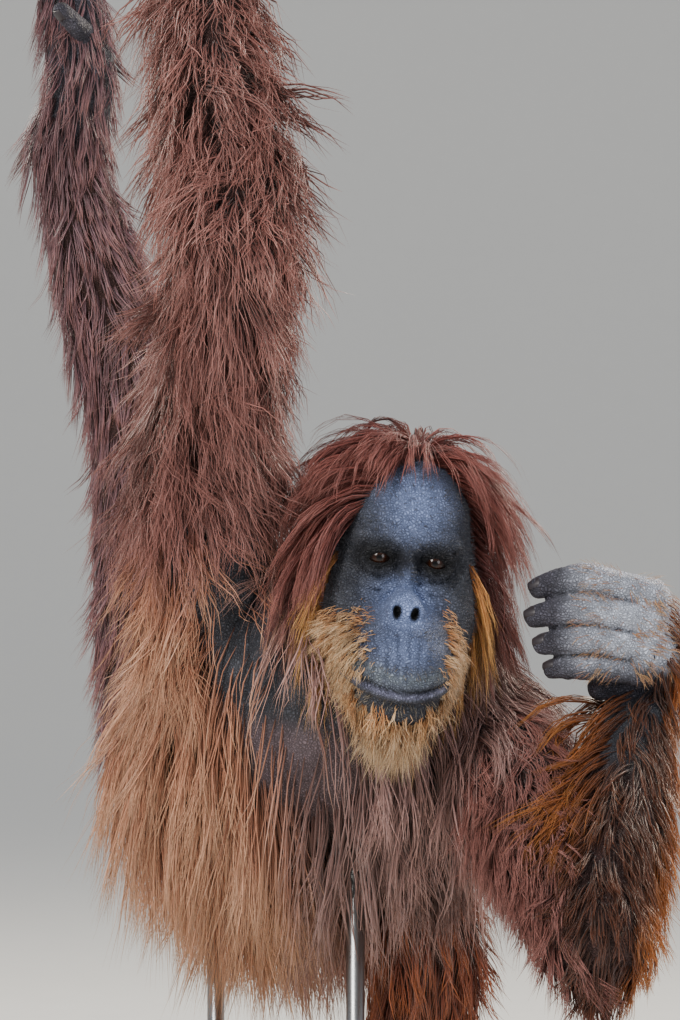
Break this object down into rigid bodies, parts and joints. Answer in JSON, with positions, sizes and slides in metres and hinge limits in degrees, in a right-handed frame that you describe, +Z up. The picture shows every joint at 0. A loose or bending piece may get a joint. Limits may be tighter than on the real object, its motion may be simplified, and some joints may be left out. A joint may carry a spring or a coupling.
{
  "type": "orangutan",
  "caption": "Life-size still model of an adult orangutan hanging by one hand and one foot from a short perch, on a plain display stand.",
  "frame": {"origin": "middle of the underside of the stand's base", "axes": "+Z up, +X to the right of a viewer who faces the animal, which looks along -Y"},
  "size_m": [0.7887, 0.7953, 1.4592],
  "materials": {
    "coat": "matte",
    "bare_skin": "satin",
    "hand_skin": "satin",
    "eye": "gloss",
    "bark": "matte",
    "base_wood": "satin",
    "steel": "satin"
  },
  "bodies": {
    "root": {"head": "coat", "neck": "coat", "chest": "coat", "abdomen": "coat", "pelvis": "coat", "right_upper_arm": "coat", "right_forearm": "coat", "right_thigh": "coat", "right_shin": "coat", "left_upper_arm": "coat", "left_forearm": "coat", "left_thigh": "coat", "left_shin": "coat", "right_index": "hand_skin", "right_middle": "hand_skin", "right_ring": "hand_skin", "right_little": "hand_skin", "right_thumb": "hand_skin", "right_second_toe": "hand_skin", "right_third_toe": "hand_skin", "right_fourth_toe": "hand_skin", "right_fifth_toe": "hand_skin", "right_big_toe": "hand_skin", "right_hand": "hand_skin", "right_foot": "hand_skin", "ear_right": "bare_skin", "eye_right": "eye", "left_index": "hand_skin", "left_middle": "hand_skin", "left_ring": "hand_skin", "left_little": "hand_skin", "left_thumb": "hand_skin", "left_second_toe": "hand_skin", "left_third_toe": "hand_skin", "left_fourth_toe": "hand_skin", "left_fifth_toe": "hand_skin", "left_big_toe": "hand_skin", "left_hand": "hand_skin", "left_foot": "hand_skin", "ear_left": "bare_skin", "eye_left": "eye", "perch": "bark", "stand_base": "base_wood", "stand_rod_front": "steel", "stand_rod_rear": "steel"}
  },
  "joints": []
}
